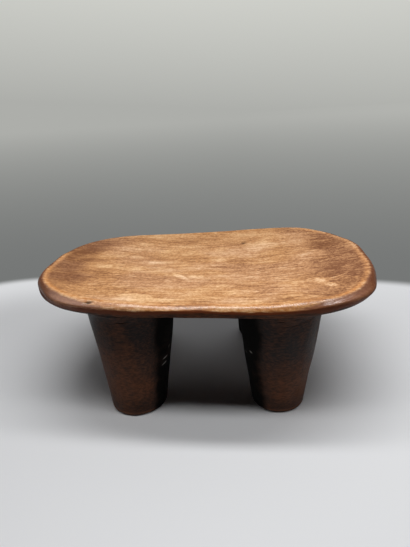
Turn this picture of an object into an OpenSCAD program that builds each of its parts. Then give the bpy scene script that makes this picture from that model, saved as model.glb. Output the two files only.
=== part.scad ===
// Low carved stool: one dished seat on four tapering legs, all cut from one block of wood.
// The frame stands on the floor: the origin is on the floor under the middle of the seat,
// +X runs along the seat to its wider end, +Y to the rear and +Z up. Sizes are millimetres.

/* [Stool] */
// Length of the seat from end to end
seat_l = 480; // [420:5:560]
// Width of the seat from front to rear
seat_w = 330; // [290:5:380]
// Height from the floor to the top of the rim at its raised ends
stool_h = 191; // [150:1:260]

/* [Seat outline] */
// How square the front edge is: 2 is an ellipse, more is squarer
front_square = 3.2; // [2.2:0.1:4]
// How square the rear edge is
rear_square = 2.65; // [2.2:0.05:4]
// How much further the front edge stands out towards the wide end than at the middle
front_flare = 12.5; // [0:0.5:24]
// How much further the rear edge stands out towards the wide end than at the middle
rear_flare = 19.5; // [0:0.5:24]

/* [Rim and dish] */
// Thickness of the rim at the middle of the long sides
rim_t = 22; // [18:0.5:32]
// How far the rim rises from the middle of the long sides to the two ends
end_rise = 7.5; // [0:0.5:14]
// Distance from the outer edge in to the crest of the rim
crest_in = 12.5; // [8:0.5:20]
// Distance from the outer edge in to the flat underside at the middle of the long sides
under_in = 7.5; // [4:0.5:7.5]
// Distance from the outer edge in to the flat underside at the two ends
under_in_end = 24.5; // [12:0.5:40]
// Depth of the dish below the crest of the rim at the middle of the long sides
dish_d = 9; // [4:0.5:12]
// How late the dish drops from the middle outwards: 2 is an even bowl, more is flatter in the middle
dish_curve = 2.6; // [2:0.1:4]

/* [Front left leg] */
// Radius of the leg where it meets the seat
front_left_top_r = 61.5; // [45:0.5:64]
// Radius of the leg at the floor
front_left_foot_r = 40.5; // [30:0.5:50]
// Distance from the seat's left end in to the side of the leg
front_left_end_gap = 82; // [60:0.5:100]
// Distance from the seat's long edge in to the side of the leg
front_left_set_in = 8; // [8:0.5:24]
// How far the foot stands towards the seat's end from the leg's top
front_left_foot_out = 2; // [-12:0.5:12]
// How far the foot stands towards the seat's long edge from the leg's top
front_left_splay = 13.5; // [-10:0.5:18]

/* [Front right leg] */
// Radius of the leg where it meets the seat
front_right_top_r = 57; // [45:0.5:64]
// Radius of the leg at the floor
front_right_foot_r = 37; // [30:0.5:50]
// Distance from the seat's right end in to the side of the leg
front_right_end_gap = 77; // [60:0.5:100]
// Distance from the seat's long edge in to the side of the leg
front_right_set_in = 8; // [8:0.5:24]
// How far the foot stands towards the seat's end from the leg's top
front_right_foot_out = -1; // [-12:0.5:12]
// How far the foot stands towards the seat's long edge from the leg's top
front_right_splay = -5.5; // [-10:0.5:18]

/* [Rear left leg] */
// Radius of the leg where it meets the seat
rear_left_top_r = 54; // [45:0.5:64]
// Radius of the leg at the floor
rear_left_foot_r = 38; // [30:0.5:50]
// Distance from the seat's left end in to the side of the leg
rear_left_end_gap = 70; // [60:0.5:100]
// Distance from the seat's long edge in to the side of the leg
rear_left_set_in = 12; // [8:0.5:24]
// How far the foot stands towards the seat's end from the leg's top
rear_left_foot_out = 8; // [-12:0.5:12]
// How far the foot stands towards the seat's long edge from the leg's top
rear_left_splay = 12; // [-10:0.5:18]

/* [Rear right leg] */
// Radius of the leg where it meets the seat
rear_right_top_r = 57; // [45:0.5:64]
// Radius of the leg at the floor
rear_right_foot_r = 37; // [30:0.5:50]
// Distance from the seat's right end in to the side of the leg
rear_right_end_gap = 90.5; // [76:0.5:110]
// Distance from the seat's long edge in to the side of the leg
rear_right_set_in = 8; // [8:0.5:24]
// How far the foot stands towards the seat's end from the leg's top
rear_right_foot_out = -6; // [-12:0.5:12]
// How far the foot stands towards the seat's long edge from the leg's top
rear_right_splay = 3; // [-10:0.5:18]

/* [Feet] */
// Radius of the worn edge round the sole of each foot
foot_round = 8; // [3:0.5:9]

/* [Hidden] */

seat_colour = "#B98557";
leg_colour = "#3A2018";

// Points round the seat's outline, and steps up each quarter arc of the rim
around = 96;
arc_steps = 5;
// The dish's rings, as shares of the way from its middle out to the crest
dish_rings = [0.94, 0.84, 0.7, 0.52, 0.3];
// Half the turn over which a point's direction along the outline is read
turn_probe = 0.5;

half_l = seat_l / 2;
half_w = seat_w / 2;
rim_half = rim_t / 2;
// Height of the flat underside, which is where the legs end
leg_h = stool_h - end_rise - rim_t;
// Height of the middle of the dish
dish_z = leg_h + rim_t - dish_d;
// How late the underside starts to turn up towards the ends
under_turn = 4;

// Share of the worn edge's radius that lies inside the foot's own radius
sole_share = 0.62;
// Length of cone past each flat end, which the cuts take off
cut_spare = 2;
// Turn of a leg's cone about its own axis, which keeps the seam of its surface off its lean
seam_turn = 50;
// Sides of the round shapes of a leg
leg_sides = 96;

// The outline is a superellipse, its front and rear halves each with their own squareness.
// Both halves widen towards the right end, and are scaled so that their widest place is half_w.
function squareness(rear) = rear ? rear_square : front_square;
function flare(rear) = rear ? rear_flare : front_flare;
function bare_y(x, rear) = (half_w + flare(rear) * x / half_l)
    * pow(max(0, 1 - pow(abs(x) / half_l, squareness(rear))), 1 / squareness(rear));
function widest(rear) = max([for (j = [0 : around - 1]) bare_y(edge_x(j * 360 / around, rear), rear)]);
front_fit = half_w / widest(false);
rear_fit = half_w / widest(true);
function edge_y(x, rear) = (rear ? rear_fit : front_fit) * bare_y(x, rear);

// One point of the outline, at angle t about the middle of the seat
function edge_x(t, rear) = half_l * cos(t)
    * pow(pow(abs(cos(t)), squareness(rear)) + pow(abs(sin(t)), squareness(rear)), -1 / squareness(rear));
function is_rear(t) = sin(t) >= 0;
function edge(t) = let (x = edge_x(t, is_rear(t)))
    [x, (is_rear(t) ? 1 : -1) * edge_y(x, is_rear(t))];
function outward(t) = let (d = edge(t + turn_probe) - edge(t - turn_probe))
    [d.y, -d.x] / norm(d);

// Heights and insets that change along the seat, for a share u of the way to its end
function wide_z(u) = leg_h + rim_half + end_rise * u * u;
function under_inset(u) = under_in + (under_in_end - under_in) * pow(u, under_turn);

// A point of the rim's section: a from -90, at the flat underside, through 0, at the outer
// edge, to 90, at the crest. Each quarter is an arc of an ellipse.
function rim_point(t, a) =
    let (p = edge(t), u = abs(p.x) / half_l)
    let (inset = a < 0 ? under_inset(u) : crest_in)
    let (rise = a < 0 ? wide_z(u) - leg_h : rim_half)
    let (q = p - inset * (1 - cos(a)) * outward(t))
    [q.x, q.y, wide_z(u) + rise * sin(a)];

// A point of the dish, at a share s of the way out to the crest
function dish_point(t, s) =
    let (c = rim_point(t, 90))
    [s * c.x, s * c.y, dish_z + (c.z - dish_z) * pow(s, dish_curve)];

function turns() = [for (j = [0 : around - 1]) j * 360 / around];
function rim_angles() = [for (i = [-arc_steps : arc_steps]) 90 * i / arc_steps];

// Triangles of the band between ring i and the ring after it
function band(i) = [for (j = [0 : around - 1]) let (k = (j + 1) % around)
    each [
        [i * around + j, (i + 1) * around + j, (i + 1) * around + k],
        [i * around + j, (i + 1) * around + k, i * around + k]
    ]];

// The dished seat, with its underside flat where the legs meet it
module seat() {
    rim_rings = [for (a = rim_angles()) [for (t = turns()) rim_point(t, a)]];
    inner_rings = [for (s = dish_rings) [for (t = turns()) dish_point(t, s)]];
    rings = concat(rim_rings, inner_rings);
    last = len(rings) - 1;
    under_middle = len(rings) * around;
    dish_middle = under_middle + 1;
    points = concat([for (r = rings) each r], [[0, 0, leg_h], [0, 0, dish_z]]);
    under = [for (j = [0 : around - 1]) [under_middle, j, (j + 1) % around]];
    floor_of_dish = [for (j = [0 : around - 1])
        [last * around + j, dish_middle, last * around + (j + 1) % around]];
    bands = [for (i = [0 : last - 1]) each band(i)];
    color(seat_colour)
        polyhedron(points = points, faces = concat(under, bands, floor_of_dish), convexity = 4);
}

// Space that a foot may fill: a flat sole with a rounded edge, and all the room above it
module foot_space(foot_r, room_r) {
    sole_r = foot_r - sole_share * foot_round;
    rotate_extrude($fn = leg_sides) {
        square([sole_r, leg_h]);
        translate([sole_r, foot_round])
            circle(r = foot_round, $fn = leg_sides);
        translate([0, foot_round])
            square([room_r, leg_h - foot_round]);
    }
}

// One leg: a cone on a leaning axis, cut flat at the floor and at the seat's underside.
// top and foot are the centres of its two ends in plan.
module leg(top, foot, top_r, foot_r) {
    lean = top - foot;
    axis_l = norm([lean.x, lean.y, leg_h]);
    tilt = acos(leg_h / axis_l);
    spare = top_r * sin(tilt) + cut_spare;
    widen = (top_r - foot_r) / axis_l;
    color(leg_colour)
        intersection() {
            translate([foot.x, foot.y, 0])
                rotate([0, tilt, atan2(lean.y, lean.x)])
                    translate([0, 0, -spare])
                        rotate([0, 0, seam_turn])
                            cylinder(
                                h = axis_l + 2 * spare,
                                r1 = foot_r - widen * spare,
                                r2 = top_r + widen * spare,
                                $fn = leg_sides
                            );
            translate([foot.x, foot.y, 0])
                foot_space(foot_r, 2 * top_r + norm(lean));
        }
}

// A leg's place: the end of the seat that it stands near, the long edge beside it, its radii at
// the seat and at the floor, its distances in from the end and from the long edge, and its lean
module leg_at(left, rear, top_r, foot_r, end_gap, set_in, foot_out, splay) {
    end = left ? -1 : 1;
    side = rear ? 1 : -1;
    top_x = end * (half_l - end_gap - top_r);
    top_y = side * (edge_y(top_x, rear) - set_in - top_r);
    leg([top_x, top_y], [top_x + end * foot_out, top_y + side * splay], top_r, foot_r);
}

module leg_front_left() {
    leg_at(
        left = true,
        rear = false,
        top_r = front_left_top_r,
        foot_r = front_left_foot_r,
        end_gap = front_left_end_gap,
        set_in = front_left_set_in,
        foot_out = front_left_foot_out,
        splay = front_left_splay
    );
}

module leg_front_right() {
    leg_at(
        left = false,
        rear = false,
        top_r = front_right_top_r,
        foot_r = front_right_foot_r,
        end_gap = front_right_end_gap,
        set_in = front_right_set_in,
        foot_out = front_right_foot_out,
        splay = front_right_splay
    );
}

module leg_rear_left() {
    leg_at(
        left = true,
        rear = true,
        top_r = rear_left_top_r,
        foot_r = rear_left_foot_r,
        end_gap = rear_left_end_gap,
        set_in = rear_left_set_in,
        foot_out = rear_left_foot_out,
        splay = rear_left_splay
    );
}

module leg_rear_right() {
    leg_at(
        left = false,
        rear = true,
        top_r = rear_right_top_r,
        foot_r = rear_right_foot_r,
        end_gap = rear_right_end_gap,
        set_in = rear_right_set_in,
        foot_out = rear_right_foot_out,
        splay = rear_right_splay
    );
}

seat();
leg_front_left();
leg_front_right();
leg_rear_left();
leg_rear_right();
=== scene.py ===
"""A carved wooden stool: a dished seat on four stout tapering legs, all cut from one block.

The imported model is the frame: metres, the origin on the floor under the middle of the seat,
+X along the seat to its wider end, +Y to the rear and +Z up. Each carved member is a surface
worked out with numpy, and stands for the CAD node of its own name.
"""

from functools import reduce
import bpy
import numpy as np
from bpy.props import FloatProperty, FloatVectorProperty, PointerProperty
from mathutils import Matrix, Vector


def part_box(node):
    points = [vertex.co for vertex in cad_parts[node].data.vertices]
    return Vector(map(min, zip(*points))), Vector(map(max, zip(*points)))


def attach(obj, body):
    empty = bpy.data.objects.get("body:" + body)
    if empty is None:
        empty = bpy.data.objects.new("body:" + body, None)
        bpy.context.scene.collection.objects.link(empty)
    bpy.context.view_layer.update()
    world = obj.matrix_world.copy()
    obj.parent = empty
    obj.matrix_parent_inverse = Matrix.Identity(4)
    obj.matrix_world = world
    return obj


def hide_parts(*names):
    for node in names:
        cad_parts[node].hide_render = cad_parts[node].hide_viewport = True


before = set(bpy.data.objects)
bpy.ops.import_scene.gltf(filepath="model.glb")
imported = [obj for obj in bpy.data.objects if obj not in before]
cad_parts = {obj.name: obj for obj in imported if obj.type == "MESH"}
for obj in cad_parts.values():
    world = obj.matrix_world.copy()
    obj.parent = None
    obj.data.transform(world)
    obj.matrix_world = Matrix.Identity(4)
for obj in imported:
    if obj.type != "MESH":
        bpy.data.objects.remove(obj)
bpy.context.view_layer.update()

bl_info = {
    "name": "Carved wooden stool",
    "version": (1, 0, 0),
    "blender": (4, 5, 0),
    "location": "3D View > Sidebar > Stool",
    "description": "Carves the stool's seat and legs around the packed model, and sets the stage",
    "category": "Object",
}

MM = 0.001
SEAT_LOW, SEAT_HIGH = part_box("seat")
LEG_NODES = ("leg_front_left", "leg_front_right", "leg_rear_left", "leg_rear_right")

# Points round the seat's outline, and rows of points along its section
SEAT_AROUND = 768
UNDER_ROWS = 22
RIM_ROWS = 46
DISH_ROWS = 58
# Points round a leg, and rows up its foot, its shaft and its cracked top, and over its sole
LEG_AROUND = 288
FOOT_ROWS = 18
SHAFT_ROWS = 64
TOP_ROWS = 72
SOLE_ROWS = 6
# Waves that are added up for an uneven surface
WAVES = 12
# Places along the seat at which its greatest width is looked for
WIDTH_PROBES = 4001


def from_screen(text):
    """The linear red, green and blue of a screen colour written as #RRGGBB."""
    parts = np.array([int(text[i:i + 2], 16) for i in (1, 3, 5)]) / 255
    return tuple(np.where(parts <= 0.04045, parts / 12.92, ((parts + 0.055) / 1.055) ** 2.4))


def length(name, text, value, top=1.0):
    """A length in metres that a user can change."""
    return FloatProperty(
        name=name, description=text, default=value, min=-top, max=top,
        precision=4, unit="LENGTH", subtype="DISTANCE",
    )


def lengths(name, text, values):
    """A length for each of the four legs, given in millimetres."""
    return FloatVectorProperty(
        name=name, description=text, default=[value * MM for value in values], size=4,
        min=-1.0, max=1.0, precision=4, unit="LENGTH",
    )


def plain(name, text, value, low=0.0, high=1.0):
    """A plain number that a user can change."""
    return FloatProperty(name=name, description=text, default=value, min=low, max=high)


def colour(name, text, value):
    """A colour that a user can change, given as it looks on a screen."""
    return FloatVectorProperty(
        name=name, description=text, default=from_screen(value), size=3,
        min=0.0, max=1.0, subtype="COLOR",
    )


class StoolSeatShape(bpy.types.PropertyGroup):
    """Sizes of the seat."""

    span: length("Length", "Length of the seat from end to end", SEAT_HIGH.x - SEAT_LOW.x)
    width: length("Width", "Width of the seat from front to rear", SEAT_HIGH.y - SEAT_LOW.y)
    height: length("Height", "Height of the rim's top at its raised ends", SEAT_HIGH.z)
    edge_front: plain("Front squareness", "How square the front edge is", 3.2, 2, 5)
    edge_rear: plain("Rear squareness", "How square the rear edge is", 2.65, 2, 5)
    front_flare: length("Front flare", "How much the front edge widens to the right", 12.5 * MM)
    rear_flare: length("Rear flare", "How much the rear edge widens to the right", 19.5 * MM)
    rim_thickness: length("Rim thickness", "Thickness of the rim at the long sides", 22 * MM)
    end_rise: length("End rise", "Rise of the rim from the long sides to the ends", 7.5 * MM)
    crest_inset: length("Crest inset", "Distance from the edge in to the crest", 7.5 * MM)
    end_crest: length("Crest inset, ends", "The same distance at the two ends", 9.5 * MM)
    rear_square: plain("Rear ends", "How square the rim's top is there: 2 is round", 2.5, 1, 4)
    front_square: plain("Front ends", "The same towards the front corners", 1.6, 1, 4)
    left_drop: length("Left drop", "How far the widest line sinks at the left end", 6 * MM)
    right_drop: length("Right drop", "How far the widest line sinks at the right end", 4.5 * MM)
    under_inset: length("Underside inset", "Distance from the edge in to the underside", 7.5 * MM)
    end_inset: length("End inset", "The same distance at the two ends", 22 * MM)
    dish_depth: length("Dish depth", "Depth of the dish below the crest", 9 * MM)
    dish_curve: plain("Dish curve", "How late the dish drops: 2 is an even bowl", 2.6, 2, 5)
    rim_swell: length("Rim swell", "Height of the uneven swells along the rim", 2.4 * MM)
    tool_marks: length("Tool marks", "Depth of the hollows left by the carving tool", 0.5 * MM)


class StoolLegShape(bpy.types.PropertyGroup):
    """Sizes of the legs: lists go front left, front right, rear left and rear right."""

    top_radii: lengths("Top radii", "Radius of each leg at the seat", (61.5, 57, 54, 57))
    foot_radii: lengths("Foot radii", "Radius of each foot", (40.5, 37, 38, 37))
    end_gaps: lengths("End gaps", "From the seat's nearer end in to each leg", (82, 77, 70, 90.5))
    set_ins: lengths("Set in", "From the seat's long edge in to each leg", (8, 8, 12, 8))
    foot_outs: lengths("Feet out", "How far each foot stands to the seat's end", (2, -1, 8, -6))
    splays: lengths("Splays", "How far each foot leans to the long edge", (13.5, -5.5, 12, 3))
    foot_round: length("Foot rounding", "Radius of the worn edge round the sole", 8 * MM)
    root_flare: length("Root flare", "How far the leg swells where it meets the seat", 4 * MM)
    tool_marks: length("Tool marks", "Depth of the hollows left by the carving tool", 0.6 * MM)
    crack_depth: length("Crack depth", "Depth of the cracks near the seat", 0.9 * MM)


class StoolWoodLook(bpy.types.PropertyGroup):
    """Colours and finish of the wood."""

    seat_wood: colour("Seat wood", "The worn brown of the dish", "#C38F5F")
    seat_pale: colour("Seat, pale", "The palest, most rubbed places of the dish", "#ECC495")
    seat_dark: colour("Seat, dark", "The darkest streaks and stains of the dish", "#7E5133")
    rim_gold: colour("Rim gold", "The warm band along the crest", "#C28045")
    rim_brown: colour("Rim brown", "The handled outer face of the rim", "#8C5B3E")
    rim_red: colour("Rim red", "The deep red brown low on the rim", "#5E2E17")
    patina_black: colour("Patina black", "The blackest patina of the legs", "#180C09")
    patina_brown: colour("Patina brown", "The brown that shows through the patina", "#5B351F")
    nick_grey: colour("Nick grey", "The bare grey in the nicks of the legs", "#8F8A84")
    seat_rough: plain("Seat roughness", "Roughness of the dish", 0.5)
    rim_rough: plain("Rim roughness", "Roughness of the rim below its polish", 0.42)
    leg_rough: plain("Leg roughness", "Roughness of the legs", 0.5)


class StoolStageLook(bpy.types.PropertyGroup):
    """The floor, the backdrop and the lamps."""

    floor: colour("Floor", "The pale floor", "#EDEEF0")
    far_floor: colour("Floor, far", "The pale floor where it meets the backdrop", "#D8D9DB")
    backdrop_low: colour("Backdrop, low", "The backdrop just behind the floor", "#757776")
    backdrop_mid: colour("Backdrop, middle", "The backdrop at the horizon", "#ADAEAA")
    backdrop_high: colour("Backdrop, high", "The backdrop above", "#D6D7D1")
    front_power: plain("Front strip", "Power of the front strip lamp in watts", 3.25, 0, 50)
    top_power: plain("Top strip", "Power of the top strip lamp in watts", 4.0, 0, 50)
    fill: plain("Fill", "Strength of the light from all round", 1.0, 0, 5)


def smooth(value, low, high):
    """0 below low, 1 above high, and the smooth cubic 3t^2 - 2t^3 between them."""
    share = np.clip((value - low) / (high - low), 0, 1)
    return share * share * (3 - 2 * share)


def bump(value, middle, half):
    """The bell exp(-d^2), where d is the distance from the middle over the half width."""
    return np.exp(-(((value - middle) / half) ** 2))


def waviness(points, wavelength, seed, stretch=(1, 1, 1)):
    """A smooth uneven height at each point, mostly between -1 and 1.

    It is a sum of sine waves over the mean size of such a sum. The seed draws their directions,
    their lengths, within a third of the wavelength, and their phases. stretch lengthens the
    waves along each axis.
    """
    draw = np.random.default_rng(seed)
    directions = draw.normal(size=(WAVES, 3))
    directions /= np.linalg.norm(directions, axis=1, keepdims=True)
    lengths = wavelength * draw.uniform(0.7, 1.35, WAVES)
    phases = draw.uniform(0, 2 * np.pi, WAVES)
    steps = directions * (2 * np.pi / lengths)[:, None] / np.array(stretch)
    return np.sin(points @ steps.T + phases).sum(-1) / np.sqrt(WAVES)


def scoops(points, middles, size):
    """Height inside the hollows of a carving tool: near 0 in a hollow, near 1 on a ridge.

    It is a soft least of the squared distances to the hollows' middles over size squared:
    minus the logarithm of the sum of exp(-k d^2), over k.
    """
    sharp = 7.0
    total = np.zeros(points.shape[:-1])
    for middle in middles:
        gap = ((points - middle) ** 2).sum(-1) / size**2
        total += np.exp(-sharp * gap)
    return np.clip(-np.log(total + 1e-9) / sharp, -0.4, 1.2)


def scattered(rows, columns, seed):
    """Middles in a unit square, one in each cell of a grid, moved at random in its cell."""
    draw = np.random.default_rng(seed)
    cells = np.stack(np.meshgrid(np.arange(columns), np.arange(rows)), -1).reshape(-1, 2)
    spots = cells + 0.5 + draw.uniform(-0.42, 0.42, cells.shape)
    return spots / (columns, rows)


def bare_width(x, rear, seat):
    """Half the outline's width before it is fitted: (w + f x/l)(1 - |x/l|^n)^(1/n)."""
    square = np.where(rear, seat.edge_rear, seat.edge_front)
    flare = np.where(rear, seat.rear_flare, seat.front_flare)
    share = 2 * x / seat.span
    inside = np.clip(1 - np.abs(share) ** square, 0, None)
    return (seat.width / 2 + flare * share) * inside ** (1 / square)


def half_width(x, rear, seat):
    """The bare width over its greatest value, times half the seat's width."""
    probe = np.linspace(-seat.span / 2, seat.span / 2, WIDTH_PROBES)
    front_fit, rear_fit = (
        seat.width / 2 / bare_width(probe, side, seat).max() for side in (False, True)
    )
    return np.where(rear, rear_fit, front_fit) * bare_width(x, rear, seat)


def outline(turn, seat):
    """The seat's edge in plan at an angle about its middle: a superellipse, squarer in front."""
    rear = np.sin(turn) >= 0
    square = np.where(rear, seat.edge_rear, seat.edge_front)
    reach = (np.abs(np.cos(turn)) ** square + np.abs(np.sin(turn)) ** square) ** (-1 / square)
    x = seat.span / 2 * np.cos(turn) * reach
    y = np.where(rear, 1, -1) * half_width(x, rear, seat)
    return np.stack([x, y], -1)


def outward(turn, seat):
    """The outline's unit normal in plan, from two points half a degree to either side."""
    step = np.radians(0.5)
    along = outline(turn + step, seat) - outline(turn - step, seat)
    along /= np.linalg.norm(along, axis=-1, keepdims=True)
    return np.stack([along[..., 1], -along[..., 0]], -1)


def underside_height(seat):
    """Height of the flat underside, where the legs end."""
    return seat.height - seat.end_rise - seat.rim_thickness


def rim_point(turn, rise, seat):
    """The rim's section: rise runs from -90 degrees, the underside, through 0, the edge, to 90.

    Each quarter is an arc of an ellipse that starts at the outline, goes in by an inset times
    1 - cos(rise), and up or down by a height times sin(rise). Towards the ends the widest line
    sinks, and the upper quarter is squarer in the rear and flatter in front: its cosine and
    sine are taken to the power 2 / squareness.
    """
    edge = outline(turn, seat)
    share = np.abs(edge[..., 0]) / (seat.span / 2)
    drop = np.where(edge[..., 0] < 0, seat.left_drop, seat.right_drop) * share**3
    top = underside_height(seat) + seat.rim_thickness + seat.end_rise * share**2
    middle = top - seat.rim_thickness / 2 - drop
    under = seat.under_inset + (seat.end_inset - seat.under_inset) * share**5
    crest = seat.crest_inset + (seat.end_crest - seat.crest_inset) * share**3
    inset = np.where(rise < 0, under, crest)
    tall = np.where(rise < 0, middle - underside_height(seat), top - middle)
    rear = smooth(edge[..., 1] / seat.width, -0.36, -0.1)
    square = seat.front_square + (seat.rear_square - seat.front_square) * rear
    power = np.where(rise < 0, 1.0, 2 / (2 + (square - 2) * share**2))
    across = np.clip(np.cos(rise), 0, 1) ** power
    along = np.sign(rise) * np.abs(np.sin(rise)) ** power
    plan = edge - (inset * (1 - across))[..., None] * outward(turn, seat)
    return np.concatenate([plan, (middle + tall * along)[..., None]], -1)


def dish_point(turn, share, seat):
    """The dish: share of the way out to the crest in plan, its height as share^curve."""
    crest = rim_point(turn, np.full_like(turn, np.pi / 2), seat)
    bottom = seat.height - seat.end_rise - seat.dish_depth
    height = bottom + (crest[..., 2] - bottom) * share**seat.dish_curve
    return np.concatenate([crest[..., :2] * share[..., None], height[..., None]], -1)


def seat_rows(seat):
    """Rows of points round the seat: out along the underside, up the rim and in over the dish."""
    turn = np.linspace(0, 2 * np.pi, SEAT_AROUND, endpoint=False)
    rise = np.linspace(-np.pi / 2, np.pi / 2, RIM_ROWS)
    turns, rises = np.meshgrid(turn, rise)
    rim = rim_point(turns, rises, seat)
    out = np.linspace(0.02, 1, UNDER_ROWS, endpoint=False) ** 0.8
    under = rim[0] * out[:, None, None]
    under[..., 2] = underside_height(seat)
    share = 1 - np.linspace(0, 1, DISH_ROWS + 1, endpoint=False)[1:] ** 1.15
    turns, shares = np.meshgrid(turn, share)
    dish = dish_point(turns, shares, seat)
    return np.concatenate([under, rim, dish])


def way_along(rows, zero_row):
    """Distance along the section from one row to every other, in metres."""
    steps = np.linalg.norm(np.diff(rows, axis=0), axis=-1)
    way = np.concatenate([np.zeros((1, rows.shape[1])), np.cumsum(steps, axis=0)])
    return way - way[zero_row]


def normals(rows):
    """Unit normals of a grid of rows: the cross product of its steps round and along."""
    across = np.roll(rows, -1, axis=1) - np.roll(rows, 1, axis=1)
    along = np.gradient(rows, axis=0)
    cross = np.cross(across, along)
    return cross / (np.linalg.norm(cross, axis=-1, keepdims=True) + 1e-12)


# Swells of the rim: angle about the seat's middle and half width in degrees, and height as a
# share of the rim swell
RIM_SWELLS = (
    (4, 9, 0.4), (26, 10, -1.2), (40, 8, -0.8), (52, 12, 0.55), (80, 13, -0.5), (102, 14, -1.0),
    (132, 13, 0.55), (162, 9, -0.8), (183, 12, -0.6), (235, 14, -1.2), (262, 16, -1.9),
    (290, 14, -2.1), (314, 13, -2.5),
)

# Fuller and flatter places of the rim's face: angle and half width in degrees, then
# millimetres: the way from the crest, half the reach along the section, and the height
RIM_CORNERS = (
    (207, 6, -13.0, 6.0, 1.4), (218, 6, -17.0, 4.5, -2.2), (230, 9, -14.0, 5.0, 3.9),
    (258, 9, -4.0, 3.0, 0.4), (321, 9, -17.0, 4.2, 2.6), (337, 8, -19.5, 6.0, -1.6),
)


# The chip on the front left of the rim, in metres: its place along X and by the way from the
# crest, then its half length, its half width and its depth, and last its fall over its length
CHIP_X, CHIP_WAY = -0.1345, -0.0054
CHIP_HALF, CHIP_WIDTH, CHIP_DEPTH = 0.0052, 0.0023, 2.0 * MM
CHIP_FALL = 0.4
# The knot in the dish, in metres: its middle, its radius and its depth
KNOT_X, KNOT_Y, KNOT_RADIUS, KNOT_DEPTH = 0.0611, 0.0926, 0.0036, 0.5 * MM
# The wear along the rim's lower front edge: angle and half width in degrees, then metres: the
# way from the crest, half the reach along the section, and the depth
WEAR_ANGLE, WEAR_HALF = 268, 15
WEAR_WAY, WEAR_REACH, WEAR_DEPTH = -0.033, 0.009, 3.2 * MM


def degrees_from(turn, middle):
    """An angle in degrees from a middle, between -180 and 180."""
    return (np.degrees(turn) - middle + 180) % 360 - 180


def along_rim(turn, bells):
    """A sum of bells over the angle about the seat's middle."""
    total = np.zeros_like(turn)
    for middle, half, height in bells:
        total += height * bump(degrees_from(turn, middle), 0, half)
    return total


def on_floor(spots):
    """Points in plan as points in space, at height 0."""
    return np.concatenate([spots, np.zeros((len(spots), 1))], -1)


def carve_seat(rows, way, turn, seat):
    """Moves the seat's points by its uneven carving, and says how deep each lies in a chip.

    The way is 0 at the crest, less than 0 down the rim and more than 0 in over the dish. The
    crest rises and falls by the rim's swells, which fade over the dish and down the rim. The
    fade lies lower down to the right of the middle. Along the normals come broad waves, smaller
    ones, hollows of the tool on the rim and the underside, fuller and flatter places of the
    rim's face, the chip, the knot, and the wear along the lower front edge.
    """
    lift = seat.rim_swell * along_rim(turn, RIM_SWELLS)
    deeper = 0.006 * bump(np.degrees(turn), 290, 14)
    fade = smooth(way + deeper, -0.016, -0.003) * (1 - smooth(way, 0.0, 0.085))
    rows = rows + np.stack([0 * way, 0 * way, lift * fade], -1)
    x, y = rows[..., 0], rows[..., 1]
    underside = 1 - smooth(way, -0.044, -0.034)
    face = smooth(way, -0.036, -0.026) * (1 - smooth(way, -0.006, 0.002))
    flat, longer = rows * (1, 1, 0), (0.75, 1, 1)
    spots = on_floor((scattered(7, 12, 11) - 0.5) * (seat.span, seat.width))
    gouges = scoops(flat * longer, spots * longer, 0.024)
    rim_spots = on_floor(outline(np.radians(scattered(1, 46, 5)[:, 0] * 360), seat))
    flats = scoops(flat, rim_spots, 0.017)
    height = 0.30 * MM * waviness(rows, 0.085, 3, (1.4, 1, 1))
    height += 0.11 * MM * waviness(rows, 0.026, 4, (1.8, 1, 1))
    height += seat.tool_marks * underside * (gouges - 0.4)
    height += 0.35 * seat.tool_marks * face * (flats - 0.5)
    for middle, half, place_on, reach, full in RIM_CORNERS:
        fuller = along_rim(turn, ((middle, half, full * MM),))
        height += fuller * bump(way, place_on * MM, reach * MM)
    slope = way - CHIP_WAY - CHIP_FALL * (x - CHIP_X)
    chip = bump(x, CHIP_X, CHIP_HALF) * bump(slope, 0.0, CHIP_WIDTH) * (y < 0)
    knot = np.hypot(x - KNOT_X, (y - KNOT_Y) * 0.8) / KNOT_RADIUS
    knot = np.exp(-(knot**2)) * (way > 0)
    height -= CHIP_DEPTH * chip + KNOT_DEPTH * knot
    worn = bump(way, WEAR_WAY, WEAR_REACH) * bump(np.degrees(turn), WEAR_ANGLE, WEAR_HALF)
    height -= WEAR_DEPTH * worn
    return rows + height[..., None] * normals(rows), np.clip(chip + 0.8 * knot, 0, 1)


# Metres: the finer rows of a leg's top start this far below the seat, its hidden end lies this
# far inside the seat, and the root's flare fades over this height
ROOT_TALL, TOP_OVERLAP, FLARE_FADE = 0.026, 0.004, 0.005
# The sole's edge lies in from the foot's radius by this share of the foot's rounding
SOLE_SHARE = 0.62
# The tool's long hollows on a leg are laid on a cylinder of this radius in metres, on which
# heights are squeezed by this share
HOLLOW_RADIUS, HOLLOW_SQUEEZE = 0.05, 0.42


def leg_plan(node, legs, seat):
    """(centre at the seat, centre at the floor, radius at the seat, radius at the floor)."""
    left, rear = node.endswith("left"), "rear" in node
    end, side = (-1 if left else 1), (1 if rear else -1)
    number = LEG_NODES.index(node)
    top, foot = legs.top_radii[number], legs.foot_radii[number]
    top_x = end * (seat.span / 2 - legs.end_gaps[number] - top)
    top_y = side * (float(half_width(top_x, rear, seat)) - legs.set_ins[number] - top)
    foot_x = top_x + end * legs.foot_outs[number]
    foot_y = top_y + side * legs.splays[number]
    return np.array([top_x, top_y]), np.array([foot_x, foot_y]), top, foot


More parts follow.
